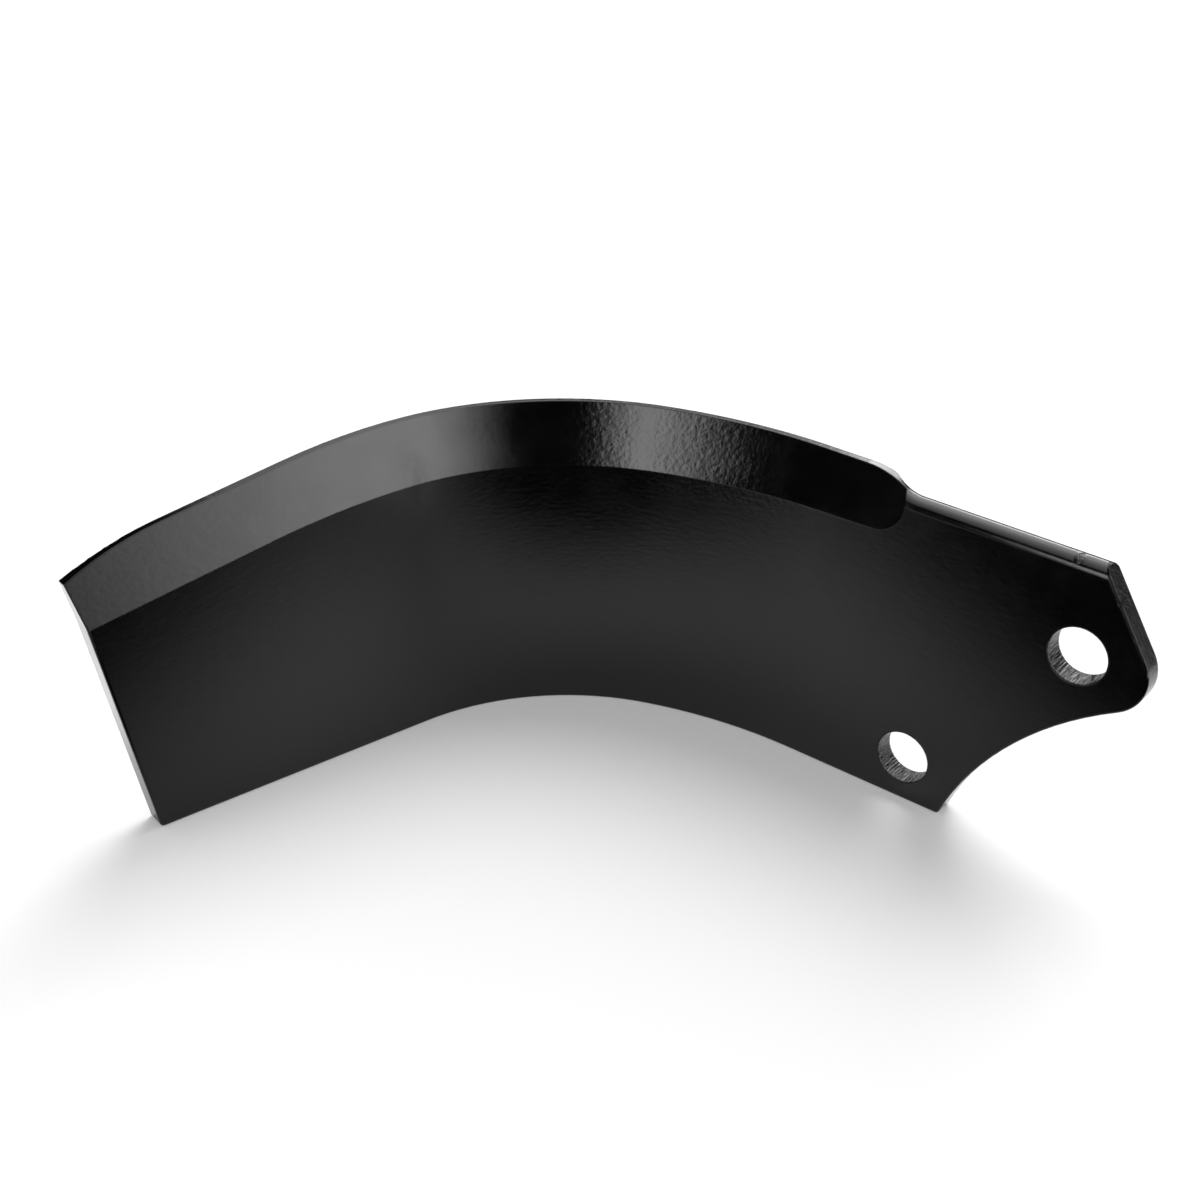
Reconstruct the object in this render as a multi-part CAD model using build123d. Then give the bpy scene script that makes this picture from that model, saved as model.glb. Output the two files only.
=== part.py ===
from build123d import *
from math import cos, radians, sin, tan
import os

os.makedirs("parts", exist_ok=True)

# Rotary tiller blade, L pattern, hot forged from flat bar and standing on its long straight edge.
# X runs along the shank toward the hub end, Y points out of the convex back and Z points up.
# The origin is where the axis of the upper bolt hole leaves the flat back of the shank.
# It is built up from its straight edge on Z = 0 and lowered to the origin at the end.
# Sizes are in millimetres, angles in degrees.

# Bar
THICKNESS = 6.0
CROWN_RADIUS = 3.04         # rolled round edge on top of the shank, a hair over half the bar
EDGE_BREAK = 0.6            # worn corner round the sheared outline
CORNER_RADIUS = 1.0         # blunted points of the outline

# Bolt holes
HOLE_DIAMETER = 13.5
HOLE_PITCH = 57.0
HOLE_LINE_ANGLE = 49.4      # from the straight edge up to the line through both holes
LOWER_HOLE_HEIGHT = 11.5    # centre above the straight edge
HOLE_ROLLOVER = 0.4         # the punch draws in the front rim

# Bend, measured on the concave front face
SHANK_TO_BEND = 69.4        # from the upper hole
EASY_RADIUS = 112.0         # the bend starts gently
EASY_ANGLE = 21.6
TIGHT_RADIUS = 61.0
TIGHT_ANGLE = 57.8

# Hub end, measured from the upper hole
HUB_CORNER_REACH = 2.2
HUB_CORNER_RISE = 22.4
HUB_CUT_ANGLE = 33.3        # from the vertical
HUB_NOSE_RADIUS = 9.8
NOTCH_RADIUS = 81.0
NOTCH_CENTRE_REACH = 50.9
NOTCH_CENTRE_DROP = 80.5

# Top edge, from the hub end to the end of the bend
SHANK_TAPER = 1.9           # it climbs away from the hub
SWELL_START = 42.6          # from the upper hole to where forging has drawn the edge out
SWELL_LOW_RADIUS = 10.0
SWELL_HIGH_RADIUS = 25.0
SWELL_ANGLE = 26.0          # steepest part against the crown

# Leg, measured from the end of the bend
LEG_LENGTH = 75.2           # along the straight edge
LEG_EDGE_RADIUS = 180.0     # the cutting edge turns down, runs straight, then rounds to the tip
LEG_EDGE_DROP_ANGLE = 10.8
LEG_EDGE_STRAIGHT = 31.9
TIP_EDGE_RADIUS = 80.0
TIP_CUT_ANGLE = 9.9         # the end leans outward as it climbs
TIP_FLARE_ANGLE = 13.0      # and more so beside the bevel

# Bevel on the front face
BEVEL_ANGLE = 14.0
BEVEL_HEIGHT = 68.6         # its lower line above the straight edge, as far as the leg
BEVEL_CURVE_RADIUS = 215.0  # the line turns down on the leg
BEVEL_DROP_ANGLE = 10.7
BEVEL_END = 45.3            # from the upper hole to the wall where the bevel stops
BEVEL_END_RADIUS = 8.0
BEVEL_WALL_DRAFT = 25.0

# Waste solids overrun the bar by this much
OVERRUN = 12.0

FRONT = -THICKNESS
UPPER_HOLE = Vector(0, LOWER_HOLE_HEIGHT + HOLE_PITCH * sin(radians(HOLE_LINE_ANGLE)))
LOWER_HOLE = Vector(-HOLE_PITCH * cos(radians(HOLE_LINE_ANGLE)), LOWER_HOLE_HEIGHT)


def bar_path(y, radius_gain):
    """Plan lines of one face of the bar, from beyond the hub end round to the leg."""
    shank = Line((NOTCH_CENTRE_REACH, y), (-SHANK_TO_BEND, y))
    easy = JernArc(shank @ 1, shank % 1, EASY_RADIUS + radius_gain, EASY_ANGLE)
    tight = JernArc(easy @ 1, easy % 1, TIGHT_RADIUS + radius_gain, TIGHT_ANGLE)
    return [shank, easy, tight]


front_path = bar_path(FRONT, 0)
back_path = bar_path(0, THICKNESS)
leg_start = front_path[-1] @ 1
leg_direction = front_path[-1] % 1
leg_back = leg_direction.cross(Vector(0, 0, 1))
# On the leg, x runs to the tip, y is up and z points out of the convex back
leg_plane = Plane(origin=leg_start, x_dir=leg_direction, z_dir=leg_back)

# Top edge in side view: crown, S-shaped swell, then the cutting edge coming level over the bend
taper = radians(SHANK_TAPER)
along_taper = Vector(-cos(taper), sin(taper))
hub_corner = UPPER_HOLE + Vector(HUB_CORNER_REACH, HUB_CORNER_RISE)
crown_line = Line(hub_corner, hub_corner + along_taper * (SWELL_START + hub_corner.X) / cos(taper))
swell_foot = crown_line @ 1
swell_low = JernArc(swell_foot, along_taper, SWELL_LOW_RADIUS, -SWELL_ANGLE)
swell_high = JernArc(swell_low @ 1, swell_low % 1, SWELL_HIGH_RADIUS, SWELL_ANGLE)
swell_head = swell_high @ 1
edge_line = Line(swell_head, swell_head + along_taper * (SHANK_TO_BEND + swell_head.X) / cos(taper))
level_radius = -(leg_start.X + SHANK_TO_BEND) / sin(taper)
level_arc = JernArc(edge_line @ 1, along_taper, level_radius, SHANK_TAPER)
edge_height = (level_arc @ 1).Y

# Shank and bend: the bar's plan, cut to the side view
far_left = leg_start.X - OVERRUN
side_rim = Polyline(
    level_arc @ 1,
    (far_left, edge_height),
    (far_left, 0),
    (hub_corner.X + hub_corner.Y * tan(radians(HUB_CUT_ANGLE)), 0),
    hub_corner,
)
side_face = make_face([crown_line, swell_low, swell_high, edge_line, level_arc, side_rim])
side_face -= Pos(NOTCH_CENTRE_REACH, UPPER_HOLE.Y - NOTCH_CENTRE_DROP) * Circle(NOTCH_RADIUS)
side_face = fillet(side_face.vertices().sort_by(Axis.X)[-1], HUB_NOSE_RADIUS)
hub_point = side_face.vertices().sort_by_distance((hub_corner.X, hub_corner.Y, 0))[0]
notch_foot = side_face.vertices().group_by(Axis.Y)[0].sort_by(Axis.X)[-1]
side_face = fillet([hub_point, notch_foot], CORNER_RADIUS)
plan_ends = [Line(front_path[0] @ 0, back_path[0] @ 0), Line(leg_start, back_path[-1] @ 1)]
plan_face = make_face([*front_path, *back_path, *plan_ends])
bar_depth = EASY_RADIUS + TIGHT_RADIUS
blade = extrude(plan_face, amount=edge_height + OVERRUN)
blade &= extrude(Plane.XZ * side_face, amount=bar_depth, both=True)

# Lower line of the bevel on the leg
leg_bevel_curve = JernArc((0, BEVEL_HEIGHT), (1, 0), BEVEL_CURVE_RADIUS, -BEVEL_DROP_ANGLE)
bevel_turn = leg_bevel_curve @ 1
leg_bevel_line = Line(bevel_turn, bevel_turn + (leg_bevel_curve % 1) * LEG_LENGTH)

# Leg, with its end cut bending outward at the knee, just clear of where the bevel line meets it
bevel_slope = tan(radians(BEVEL_DROP_ANGLE))
tip_slope = tan(radians(TIP_CUT_ANGLE))
leg_curve = JernArc((0, edge_height), (1, 0), LEG_EDGE_RADIUS, -LEG_EDGE_DROP_ANGLE)
leg_straight = Line(leg_curve @ 1, leg_curve @ 1 + (leg_curve % 1) * LEG_EDGE_STRAIGHT)
tip_curve = JernArc(leg_straight @ 1, leg_straight % 1, TIP_EDGE_RADIUS, -TIGHT_ANGLE)
leg_rim = Polyline(tip_curve @ 1, ((tip_curve @ 1).X, 0), (0, 0), (0, edge_height))
leg_face = make_face([leg_curve, leg_straight, tip_curve, leg_rim])
line_end = (bevel_turn.Y + (bevel_turn.X - LEG_LENGTH) * bevel_slope) / (1 + tip_slope * bevel_slope)
knee_height = line_end + EDGE_BREAK
knee = Vector(LEG_LENGTH + knee_height * tip_slope, knee_height)
flare_head = knee + Vector(tan(radians(TIP_FLARE_ANGLE)), 1) * (edge_height - knee_height)
leg_end = Polyline((0, 0), (LEG_LENGTH, 0), knee, flare_head, (0, edge_height), close=True)
leg_face &= make_face(leg_end)
tip_foot = leg_face.vertices().sort_by_distance((LEG_LENGTH, 0, 0))[0]
leg_face = fillet(tip_foot, CORNER_RADIUS)
blade += extrude(leg_plane * leg_face, amount=THICKNESS)

# Worn corners: every edge where a broad face of the bar meets its rim
upright_faces = [face for face in blade.faces() if abs(face.normal_at().Z) < sin(taper)]
broad_faces = [face for face in upright_faces if face.area > edge_height * THICKNESS]
rim_edges = [edge for edge in blade.edges() if sum(edge in face.edges() for face in broad_faces) == 1]
blade = fillet(rim_edges, EDGE_BREAK)

# Crown: the waste over the round edge follows the shank and curls off the bar where the edge swells
crown_lead = Line(hub_corner - along_taper * OVERRUN, swell_foot)
crown_curl = JernArc(swell_foot, along_taper, SWELL_LOW_RADIUS, -3 * SWELL_ANGLE)
crown_path = Plane.XZ * Wire([crown_lead, crown_curl])
crown_plane = Plane(origin=crown_path @ 0, x_dir=(0, -1, 0), z_dir=crown_path % 0)
crown_block = Rectangle(2 * THICKNESS, 2 * CROWN_RADIUS, align=(Align.CENTER, Align.MIN))
crown_waste = Pos(THICKNESS / 2, -CROWN_RADIUS) * (crown_block - Circle(CROWN_RADIUS))
blade -= sweep(crown_plane * crown_waste, crown_path)

# Bevel: a wedge swept along the bevel line, round the bend and down the leg
wedge_height = 2 * (edge_height - BEVEL_HEIGHT)
wedge_depth = wedge_height * tan(radians(BEVEL_ANGLE))
wedge = make_face(
    Polyline((0, 0), (wedge_depth, wedge_height), (-OVERRUN, wedge_height), (-OVERRUN, 0), close=True)
)
bevel_start = Vector(-SHANK_TO_BEND + THICKNESS, FRONT, BEVEL_HEIGHT)
shank_lines = [Line((bevel_start.X, FRONT), front_path[0] @ 1), *front_path[1:]]
bevel_path = Wire(
    [Pos(0, 0, BEVEL_HEIGHT) * line for line in shank_lines]
    + [leg_plane * line for line in (leg_bevel_curve, leg_bevel_line)]
)
bevel_plane = Plane(origin=bevel_start, x_dir=(0, 1, 0), z_dir=(1, 0, 0))
blade -= sweep(bevel_plane * wedge, bevel_path)

# End of the bevel: the same wedge run on along the shank to a drafted wall with a round corner
end_length = -BEVEL_END - bevel_start.X
end_window = Pos(-BEVEL_END, BEVEL_HEIGHT) * Rectangle(
    3 * end_length, wedge_height, align=(Align.MAX, Align.MIN)
)
window_corner = end_window.vertices().sort_by_distance((-BEVEL_END, BEVEL_HEIGHT, 0))[0]
end_window = fillet(window_corner, BEVEL_END_RADIUS)
front_plane = Plane(origin=(0, FRONT, 0), x_dir=(1, 0, 0), z_dir=(0, -1, 0))
end_waste = extrude(bevel_plane * wedge, amount=end_length)
end_waste &= extrude(front_plane * end_window, amount=FRONT, taper=BEVEL_WALL_DRAFT)
blade -= end_waste

# Bolt holes, with the rims rolled in on the front
for hole in (UPPER_HOLE, LOWER_HOLE):
    blade -= extrude(Plane.XZ * (Pos(hole.X, hole.Y) * Circle(HOLE_DIAMETER / 2)), amount=THICKNESS)
    rim = blade.edges().filter_by(GeomType.CIRCLE).sort_by_distance((hole.X, FRONT - OVERRUN, hole.Y))[0]
    blade = fillet(rim, HOLE_ROLLOVER)

blade = Pos(0, 0, -UPPER_HOLE.Y) * blade
blade.label = "blade"
export_step(blade, "parts/blade.step")
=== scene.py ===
import math

import bpy
from mathutils import Matrix, Vector


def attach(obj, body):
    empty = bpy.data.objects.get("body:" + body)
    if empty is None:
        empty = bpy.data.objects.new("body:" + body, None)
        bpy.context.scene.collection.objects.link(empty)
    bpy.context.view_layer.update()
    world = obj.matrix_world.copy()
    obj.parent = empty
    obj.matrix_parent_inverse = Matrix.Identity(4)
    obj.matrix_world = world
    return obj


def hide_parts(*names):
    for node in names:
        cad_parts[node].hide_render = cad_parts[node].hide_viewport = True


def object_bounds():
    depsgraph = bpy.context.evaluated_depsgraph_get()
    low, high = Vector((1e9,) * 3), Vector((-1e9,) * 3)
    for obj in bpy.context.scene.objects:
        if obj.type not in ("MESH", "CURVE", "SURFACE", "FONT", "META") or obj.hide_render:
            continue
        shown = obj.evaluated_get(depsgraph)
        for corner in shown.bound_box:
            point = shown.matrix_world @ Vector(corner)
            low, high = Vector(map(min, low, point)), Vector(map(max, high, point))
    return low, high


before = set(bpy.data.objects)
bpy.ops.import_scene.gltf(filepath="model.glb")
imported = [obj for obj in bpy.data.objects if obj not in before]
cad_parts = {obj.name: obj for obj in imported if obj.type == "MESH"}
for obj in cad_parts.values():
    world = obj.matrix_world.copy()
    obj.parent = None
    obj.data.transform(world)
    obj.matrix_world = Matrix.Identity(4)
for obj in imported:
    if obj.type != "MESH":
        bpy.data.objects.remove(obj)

# A black painted rotary tiller blade on a white table, lit from behind, with feathered strip
# lights, cards and black flags that only its gloss shows. Metres, in the frame of the CAD part.

cad_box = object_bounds()
FLOOR_Z = cad_box[0][2]


# Materials

def new_material(name):
    """An empty node tree with its output."""
    mat = bpy.data.materials.new(name)
    mat.use_nodes = True
    mat.node_tree.nodes.clear()
    return mat, mat.node_tree, mat.node_tree.nodes.new("ShaderNodeOutputMaterial")


def math_node(tree, operation, first, second):
    """A sum, product or the like of two sockets or numbers."""
    node = tree.nodes.new("ShaderNodeMath")
    node.operation = operation
    for socket, value in zip(node.inputs, (first, second)):
        if isinstance(value, (int, float)):
            socket.default_value = value
        else:
            tree.links.new(value, socket)
    return node.outputs["Value"]


def noise_node(tree, place, scale, detail, roughness=0.5):
    """A cloudy pattern from 0 to 1."""
    node = tree.nodes.new("ShaderNodeTexNoise")
    node.inputs["Scale"].default_value = scale
    node.inputs["Detail"].default_value = detail
    node.inputs["Roughness"].default_value = roughness
    tree.links.new(place, node.inputs["Vector"])
    return node.outputs["Fac"]


def mapped(tree, value, low, high, to_low, to_high):
    """A socket's range carried smoothly to another."""
    node = tree.nodes.new("ShaderNodeMapRange")
    node.interpolation_type = "SMOOTHSTEP"
    node.inputs["From Min"].default_value = low
    node.inputs["From Max"].default_value = high
    node.inputs["To Min"].default_value = to_low
    node.inputs["To Max"].default_value = to_high
    tree.links.new(value, node.inputs["Value"])
    return node.outputs["Result"]


def bump_node(tree, height, depth, normal=None):
    """Raises the surface by a pattern times a depth in metres."""
    node = tree.nodes.new("ShaderNodeBump")
    node.inputs["Strength"].default_value = 1.0
    node.inputs["Distance"].default_value = depth
    tree.links.new(height, node.inputs["Height"])
    if normal is not None:
        tree.links.new(normal, node.inputs["Normal"])
    return node.outputs["Normal"]


PAINT_COLOUR = (0.0022, 0.0022, 0.0025, 1)
PAINT_IOR = 1.5
HOLE_RADIUS = 0.00675
UPPER_HOLE = (0, 0, 0)
LOWER_HOLE = (-0.037094, 0, -0.043279)
HUB_CUT_ANGLE = 33.3        # from the vertical
HUB_CUT_REACH = 0.01414     # from the upper hole to the cut

# Pattern scales per metre, and depths of the bumps in metres
ROLL_SCALE, ROLL_DEPTH = 110.0, 0.00003
PEEL_SCALE, PEEL_DEPTH = 820.0, 0.00008
WAVE_SCALE, WAVE_DEPTH = 700.0, 0.000022
STREAK_SCALE, STREAK_DEPTH = 1700.0, 0.0006
TORN_SCALE, TORN_DEPTH = 900.0, 0.0002
BLEMISH_SCALE, BLEMISH_DEPTH = 1300.0, 0.0005
WAVE_STRETCH = (0.6, 0.6, 1.5)
STREAK_STRETCH = (1, 0.05, 1)
WORN_RADIUS = 0.0005

# Orange peel: where it fades in and out along X, where it starts above the bevel's foot,
# and its share elsewhere
PEEL_ALONG = (-0.142, -0.125, -0.09, -0.062)
PEEL_ABOVE = (0.006, 0.014)
PEEL_ELSEWHERE = 0.12

SCAR, SCAR_SIZE = (-0.0040, -0.0042, 0.0217), 0.0016
NICK, NICK_SIZE = (0.0069, -0.006, 0.0154), 0.0009

ROUGHNESS = (0.13, 0.19)
ROUGHER_ON_CUT = 0.02
ROUGHER_IN_HOLE = 0.03
SPECULAR_LEVEL = 0.5
SPECULAR_LEVEL_ON_CUT = 0.15


def within(tree, value, start, full_from, full_to, end):
    """1 between the two full values and 0 outside start and end."""
    rise = mapped(tree, value, start, full_from, 0, 1)
    return math_node(tree, "MULTIPLY", rise, mapped(tree, value, full_to, end, 1, 0))


def vector_node(tree, operation, first, second):
    """A vector operation on a socket and a constant."""
    node = tree.nodes.new("ShaderNodeVectorMath")
    node.operation = operation
    tree.links.new(first, node.inputs[0])
    node.inputs[1].default_value = second
    return node


def scaled(tree, place, factors):
    """Coordinates multiplied by a factor for each axis."""
    return vector_node(tree, "MULTIPLY", place, factors).outputs["Vector"]


def distance(tree, place, spot):
    """How far a coordinate is from a point."""
    return vector_node(tree, "DISTANCE", place, spot).outputs["Value"]


def paint_material():
    """Gloss black paint: orange peel where the bevel runs over the bend, rolling waves on the flat,
    punch streaks in the holes, a torn surface on the sheared hub end, and a scar and a nick by it."""
    mat, tree, out = new_material("black_paint")
    shader = tree.nodes.new("ShaderNodeBsdfPrincipled")
    shader.inputs["Base Color"].default_value = PAINT_COLOUR
    shader.inputs["IOR"].default_value = PAINT_IOR
    place = tree.nodes.new("ShaderNodeTexCoord").outputs["Object"]
    parts = tree.nodes.new("ShaderNodeSeparateXYZ")
    tree.links.new(place, parts.inputs["Vector"])

    # Sharp edges rounded in the shading, and a slow roll of the paint
    worn_edge = tree.nodes.new("ShaderNodeBevel")
    worn_edge.samples = 6
    worn_edge.inputs["Radius"].default_value = WORN_RADIUS
    roll = noise_node(tree, place, ROLL_SCALE, 3.0, 0.55)
    normal = bump_node(tree, roll, ROLL_DEPTH, worn_edge.outputs["Normal"])

    # Orange peel
    over_bend = within(tree, parts.outputs["X"], *PEEL_ALONG)
    on_bevel = mapped(tree, parts.outputs["Z"], *PEEL_ABOVE, 0, 1)
    peel_area = math_node(tree, "MULTIPLY", over_bend, on_bevel)
    peel_area = math_node(tree, "MULTIPLY", peel_area, 1 - PEEL_ELSEWHERE)
    peel_area = math_node(tree, "ADD", peel_area, PEEL_ELSEWHERE)
    peel = math_node(tree, "MULTIPLY", noise_node(tree, place, PEEL_SCALE, 1.5), peel_area)
    normal = bump_node(tree, peel, PEEL_DEPTH, normal)

    waves = noise_node(tree, scaled(tree, place, WAVE_STRETCH), WAVE_SCALE, 2.0)
    normal = bump_node(tree, waves, WAVE_DEPTH, normal)

    # Streaks along the bolt holes' walls
    streaks = noise_node(tree, scaled(tree, place, STREAK_STRETCH), STREAK_SCALE, 2.0, 0.7)
    flat_place = scaled(tree, place, (1, 0, 1))
    insides = []
    for hole in (UPPER_HOLE, LOWER_HOLE):
        reach = distance(tree, flat_place, hole)
        insides.append(mapped(tree, reach, HOLE_RADIUS + 0.0001, HOLE_RADIUS + 0.0003, 1, 0))
    in_hole = math_node(tree, "MAXIMUM", *insides)
    normal = bump_node(tree, math_node(tree, "MULTIPLY", streaks, in_hole), STREAK_DEPTH, normal)

    # Torn surface of the hub cut
    cut = math.radians(HUB_CUT_ANGLE)
    outward = (math.cos(cut), 0, math.sin(cut))
    reach = vector_node(tree, "DOT_PRODUCT", place, outward).outputs["Value"]
    on_cut = mapped(tree, reach, HUB_CUT_REACH - 0.0005, HUB_CUT_REACH - 0.0001, 0, 1)
    torn = noise_node(tree, place, TORN_SCALE, 4.0, 0.65)
    normal = bump_node(tree, math_node(tree, "MULTIPLY", torn, on_cut), TORN_DEPTH, normal)

    # Scar on the crown and nick in the edge of the hub cut
    blemish = noise_node(tree, place, BLEMISH_SCALE, 3.0, 0.8)
    for spot, size in ((SCAR, SCAR_SIZE), (NICK, NICK_SIZE)):
        near = mapped(tree, distance(tree, place, spot), 0.4 * size, size, 1, 0)
        marked = math_node(tree, "MULTIPLY", blemish, near)
        normal = bump_node(tree, marked, BLEMISH_DEPTH, normal)

    rough = mapped(tree, roll, 0.3, 0.7, *ROUGHNESS)
    rough = math_node(tree, "ADD", rough, math_node(tree, "MULTIPLY", on_cut, ROUGHER_ON_CUT))
    rough = math_node(tree, "ADD", rough, math_node(tree, "MULTIPLY", in_hole, ROUGHER_IN_HOLE))
    specular = mapped(tree, on_cut, 0, 1, SPECULAR_LEVEL, SPECULAR_LEVEL_ON_CUT)
    tree.links.new(rough, shader.inputs["Roughness"])
    tree.links.new(specular, shader.inputs["Specular IOR Level"])
    tree.links.new(normal, shader.inputs["Normal"])
    tree.links.new(shader.outputs["BSDF"], out.inputs["Surface"])
    return mat


def seen_ray(tree):
    """1 on rays that come from the camera, a reflection or a transmission."""
    path = tree.nodes.new("ShaderNodeLightPath")
    direct = math_node(tree, "MAXIMUM", path.outputs["Is Camera Ray"], path.outputs["Is Glossy Ray"])
    return math_node(tree, "MAXIMUM", direct, path.outputs["Is Transmission Ray"])


FLOOR_COLOUR = (0.8, 0.8, 0.8, 1)
FLOOR_GLOW = 0.2


def floor_material():
    """Matt white paper, lifted a little where it is seen, so that it is white and keeps its shadow."""
    mat, tree, out = new_material("white_paper")
    matt = tree.nodes.new("ShaderNodeBsdfDiffuse")
    matt.inputs["Color"].default_value = FLOOR_COLOUR
    glow = tree.nodes.new("ShaderNodeEmission")
    tree.links.new(math_node(tree, "MULTIPLY", seen_ray(tree), FLOOR_GLOW), glow.inputs["Strength"])
    both = tree.nodes.new("ShaderNodeAddShader")
    tree.links.new(matt.outputs["BSDF"], both.inputs[0])
    tree.links.new(glow.outputs["Emission"], both.inputs[1])
    tree.links.new(both.outputs["Shader"], out.inputs["Surface"])
    return mat


def card_material(name, level, feather):
    """A card that glows at a level, 0 for black, and fades out toward its left, right, lower and
    upper edges. The feather is each fade's share of the card."""
    mat, tree, out = new_material(name)
    glow = tree.nodes.new("ShaderNodeEmission")
    glow.inputs["Strength"].default_value = level
    clear = tree.nodes.new("ShaderNodeBsdfTransparent")
    parts = tree.nodes.new("ShaderNodeSeparateXYZ")
    tree.links.new(tree.nodes.new("ShaderNodeTexCoord").outputs["Generated"], parts.inputs["Vector"])
    left, right, low, high = feather
    fades = [
        mapped(tree, parts.outputs["X"], 0, left, 0, 1),
        mapped(tree, parts.outputs["X"], 1 - right, 1, 1, 0),
        mapped(tree, parts.outputs["Y"], 0, low, 0, 1),
        mapped(tree, parts.outputs["Y"], 1 - high, 1, 1, 0),
    ]
    cover = fades[0]
    for fade in fades[1:]:
        cover = math_node(tree, "MULTIPLY", cover, fade)
    mix = tree.nodes.new("ShaderNodeMixShader")
    tree.links.new(cover, mix.inputs["Fac"])
    tree.links.new(clear.outputs["BSDF"], mix.inputs[1])
    tree.links.new(glow.outputs["Emission"], mix.inputs[2])
    tree.links.new(mix.outputs["Shader"], out.inputs["Surface"])
    return mat


# The blade

def painted_copy(node, name):
    """A copy of a CAD node's mesh that takes its place in the picture."""
    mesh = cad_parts[node].data.copy()
    mesh.materials.clear()
    obj = bpy.data.objects.new(name, mesh)
    bpy.context.collection.objects.link(obj)
    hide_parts(node)
    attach(obj, "root")
    return obj


# Plan of the bend, as in the part's source
SHANK_TO_BEND = 0.0694
FRONT = -0.006
EASY_RADIUS = 0.112
EASY_ANGLE = math.radians(21.6)
TIGHT_RADIUS = 0.061
FULL_ANGLE = EASY_ANGLE + math.radians(57.8)
BEVEL_ANGLE = math.radians(14.0)
FLAT_WITHIN = math.radians(3)       # of the front's or back's direction
BEVEL_WITHIN = math.radians(2)      # of the bevel's lean
SHARP_FROM = math.radians(50)
EASY_CENTRE = Vector((-SHANK_TO_BEND, FRONT - EASY_RADIUS))
EASY_END = Vector((-math.sin(EASY_ANGLE), math.cos(EASY_ANGLE)))
TIGHT_CENTRE = EASY_CENTRE + (EASY_RADIUS - TIGHT_RADIUS) * EASY_END


def front_normal(point):
    """Which way the bar's front face looks at a point."""
    turned = 0.0
    if point.x < -SHANK_TO_BEND:
        turned = math.atan2(EASY_CENTRE.x - point.x, point.y - EASY_CENTRE.y)
        if turned > EASY_ANGLE:
            turned = math.atan2(TIGHT_CENTRE.x - point.x, point.y - TIGHT_CENTRE.y)
            turned = max(EASY_ANGLE, min(turned, FULL_ANGLE))
    return Vector((math.sin(turned), -math.cos(turned), 0))


def spot_key(co):
    """Corners within a micrometre count as one."""
    return tuple(round(c * 1e6) for c in co)


def smooth_as_drawn(mesh):
    """Normals of the true curved faces: exact on the broad faces, and shared over the rounded edges."""
    sort = []
    for face in mesh.polygons:
        lean = face.normal.angle(front_normal(face.center))
        if lean < FLAT_WITHIN:
            sort.append("front")
        elif lean > math.pi - FLAT_WITHIN:
            sort.append("back")
        elif abs(lean - BEVEL_ANGLE) < BEVEL_WITHIN and face.normal.z > 0.2:
            sort.append("bevel")
        else:
            sort.append("edge")
    meeting = {}
    for face, kind in zip(mesh.polygons, sort):
        for v in face.vertices:
            corner = meeting.setdefault(spot_key(mesh.vertices[v].co), [])
            corner.append((kind, face.normal.copy(), face.area))
    normals = []
    for face, kind in zip(mesh.polygons, sort):
        for v in face.vertices:
            co = mesh.vertices[v].co
            if kind in ("front", "back"):
                normals.append(front_normal(co) * (1 if kind == "front" else -1))
                continue
            around = meeting[spot_key(co)]
            if kind == "bevel":
                near = [n * area for k, n, area in around if k == "bevel"]
            else:
                smooth = [meet for meet in around if meet[1].angle(face.normal) < SHARP_FROM]
                broad = [n * area for k, n, area in smooth if k != "edge"]
                near = broad or [n * area for k, n, area in smooth]
            total = sum(near, Vector((0, 0, 0)))
            normals.append(total.normalized() if total.length > 0 else face.normal.copy())
    mesh.shade_smooth()
    mesh.normals_split_custom_set(normals)


blade = painted_copy("blade", "painted_blade")
smooth_as_drawn(blade.data)
blade.data.materials.append(paint_material())


# Studio

def sheet_object(name, centre, right, up, width, height, material):
    """A flat rectangle. Its generated coordinates run along right, then up."""
    right = Vector(right).normalized()
    up = Vector(up).normalized()
    turn = Matrix((right, up, right.cross(up))).transposed()
    w = width / 2
    h = height / 2
    mesh = bpy.data.meshes.new(name)
    mesh.from_pydata([(-w, -h, 0), (w, -h, 0), (w, h, 0), (-w, h, 0)], [], [(0, 1, 2, 3)])
    mesh.materials.append(material)
    obj = bpy.data.objects.new(name, mesh)
    obj.matrix_world = Matrix.Translation(Vector(centre)) @ turn.to_4x4()
    bpy.context.collection.objects.link(obj)
    return obj


def only_in_gloss(obj):
    """The card shows in reflections and nowhere else, and throws no light or shadow."""
    obj.visible_camera = False
    obj.visible_diffuse = False
    obj.visible_transmission = False
    obj.visible_volume_scatter = False
    obj.visible_shadow = False
    return obj


X = (1, 0, 0)
Y = (0, 1, 0)
Z = (0, 0, 1)
FLOOR_SIZE = 30
JUST_ABOVE = FLOOR_Z + 0.0005

sheet_object("floor", (0, 0, FLOOR_Z), X, Y, FLOOR_SIZE, FLOOR_SIZE, floor_material())

TOWARD_CAMERA = Vector((0.6, -0.8, 0))
ALONG_TABLE = Vector((0.8, 0.6, 0))
SHARP = 0.001               # as good as no fade


def table_card(name, near, far, start, end, level, feather):
    """A card on the table between distances toward the camera and along the table, from the
    part's origin."""
    middle = TOWARD_CAMERA * (near + far) / 2 + ALONG_TABLE * (start + end) / 2
    place = (middle.x, middle.y, JUST_ABOVE)
    material = card_material(name, level, feather)
    return sheet_object(name, place, ALONG_TABLE, -TOWARD_CAMERA, end - start, far - near, material)


# Strip light beyond the hub end, seen by the bevel on the leg
side_strip = sheet_object(
    "side_strip", (0.275, 0.06, 0.1), Y, Z, 0.58, 0.31,
    card_material("side_strip", 4.3, (0.5, 0.1, SHARP, 0.2)),
)
# Strip light in front, seen by the bevel over the bend
front_strip = sheet_object(
    "front_strip", (0.0, -0.45, 0.1), X, Z, 0.36, 0.31,
    card_material("front_strip", 4.6, (0.45, 0.6, SHARP, 0.2)),
)
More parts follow.
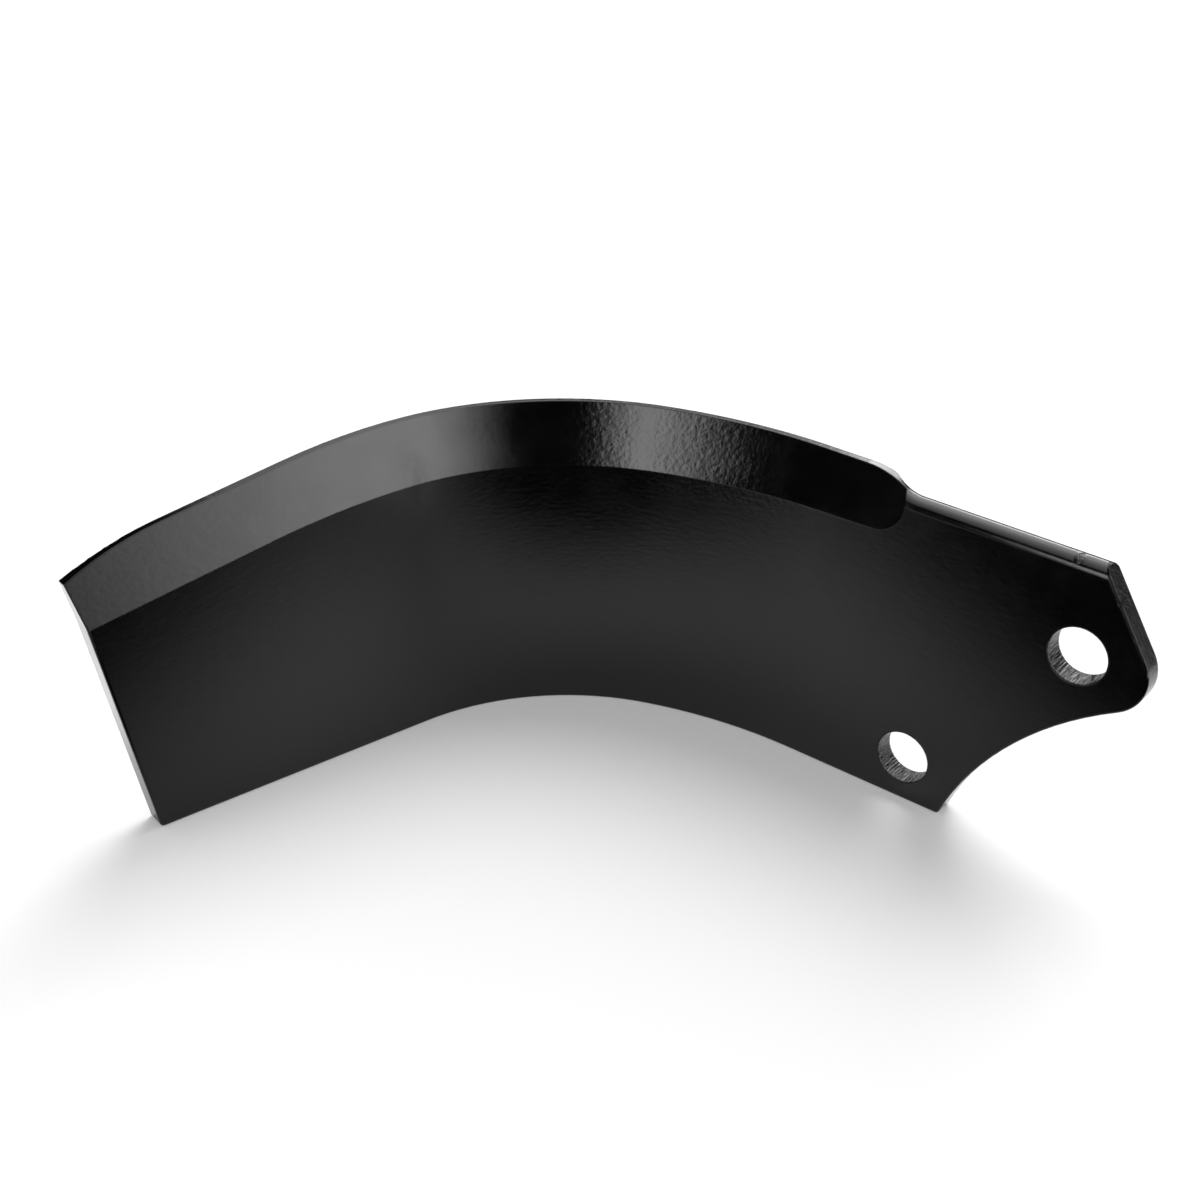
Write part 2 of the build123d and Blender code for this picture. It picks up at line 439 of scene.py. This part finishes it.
# Glowing card on the table, twice as bright as white: a light that shows only in the gloss on the end
# of the leg
end_card = sheet_object(
    "end_card", (-0.39, -0.13, JUST_ABOVE), X, Y, 0.41, 0.4,
    card_material("end_card", 2.0, (SHARP, 0.05, SHARP, SHARP)),
)
# Black cards on the table: one seen by the flat of the shank, one that carries it on to the left,
# and one behind the blade, seen along the top edge
black_card = table_card("black_card", -0.02, 0.6, -0.26, 0.5, 0.0, (0.05, SHARP, SHARP, 0.15))
front_card = table_card("front_card", 0.16, 0.75, -0.75, -0.24, 0.0, (SHARP, SHARP, SHARP, 0.15))
back_card = sheet_object(
    "back_card", (0, 0.42, JUST_ABOVE), X, Y, 1.3, 0.56,
    card_material("back_card", 0.0, (0.1, 0.1, 0.1, 0.1)),
)
# Soft box overhead and a little behind, seen by the crown
top_box = sheet_object(
    "top_box", (0, 0.2, 0.7), X, Y, 1.6, 1.5,
    card_material("top_box", 3.2, (0.2, 0.2, 0.6, 0.15)),
)
for card in (side_strip, front_strip, end_card, black_card, front_card, back_card, top_box):
    only_in_gloss(card)


def black_wall(radius, low, high, start, end, steps):
    """Black flags in an arc around the table, from one azimuth to another."""
    verts = []
    for i in range(steps + 1):
        angle = math.radians(start + (end - start) * i / steps)
        for z in (low, high):
            verts.append((radius * math.cos(angle), radius * math.sin(angle), z))
    faces = [(2 * i, 2 * i + 2, 2 * i + 3, 2 * i + 1) for i in range(steps)]
    mesh = bpy.data.meshes.new("black_flags")
    mesh.from_pydata(verts, [], faces)
    mat, tree, out = new_material("black_flags")
    glow = tree.nodes.new("ShaderNodeEmission")
    glow.inputs["Strength"].default_value = 0.0
    tree.links.new(glow.outputs["Emission"], out.inputs["Surface"])
    mesh.materials.append(mat)
    obj = bpy.data.objects.new("black_flags", mesh)
    bpy.context.collection.objects.link(obj)
    return obj


FLAG_RADIUS = 0.7
HIGH_FLAGS = 0.65           # on the camera's side and at both ends
LOW_FLAGS = 0.24            # behind the blade
only_in_gloss(black_wall(FLAG_RADIUS, FLOOR_Z, HIGH_FLAGS, -190, 75, 48))
only_in_gloss(black_wall(FLAG_RADIUS, FLOOR_Z, LOW_FLAGS, 75, 170, 24))

WORLD_LEVEL = 0.5           # the light that the world gives
WORLD_SEEN = 1.0            # white where it is seen
world = bpy.data.worlds.new("studio")
bpy.context.scene.world = world
world.use_nodes = True
world_tree = world.node_tree
background = world_tree.nodes["Background"]
background.inputs["Color"].default_value = (1, 1, 1, 1)
world_level = mapped(world_tree, seen_ray(world_tree), 0, 1, WORLD_LEVEL, WORLD_SEEN)
world_tree.links.new(world_level, background.inputs["Strength"])


def soft_sun(name, azimuth, elevation, width, level):
    """A wide, even lamp far away: angles in degrees, level on a surface that faces it."""
    lamp = bpy.data.lights.new(name, "SUN")
    lamp.energy = level
    lamp.angle = math.radians(width)
    obj = bpy.data.objects.new(name, lamp)
    a = math.radians(azimuth)
    e = math.radians(elevation)
    toward = Vector((math.cos(a) * math.cos(e), math.sin(a) * math.cos(e), math.sin(e)))
    obj.rotation_euler = toward.to_track_quat("Z", "Y").to_euler()
    bpy.context.collection.objects.link(obj)


soft_sun("high_light", 105, 60, 40, 1.9)
soft_sun("back_light", 105, 30, 24, 0.7)


# Camera

CAMERA_PLACE = Vector((0.09205, -0.2850, 0.15819))
CAMERA_RIGHT = Vector((0.7696, 0.63811, 0.02306))
CAMERA_BACK = Vector((0.55411, -0.68536, 0.47249))
CAMERA_LENS = 43.8          # mm
SENSOR_WIDTH = 36.0         # mm

right = CAMERA_RIGHT.normalized()
up = CAMERA_BACK.cross(right).normalized()
back = right.cross(up)
lens = bpy.data.cameras.new("camera")
lens.lens = CAMERA_LENS
lens.sensor_width = SENSOR_WIDTH
lens.clip_start = 0.01
camera = bpy.data.objects.new("camera", lens)
axes = Matrix((right, up, back)).transposed().to_4x4()
camera.matrix_world = Matrix.Translation(CAMERA_PLACE) @ axes
bpy.context.collection.objects.link(camera)
bpy.context.scene.camera = camera
bpy.context.scene.view_settings.view_transform = "Standard"
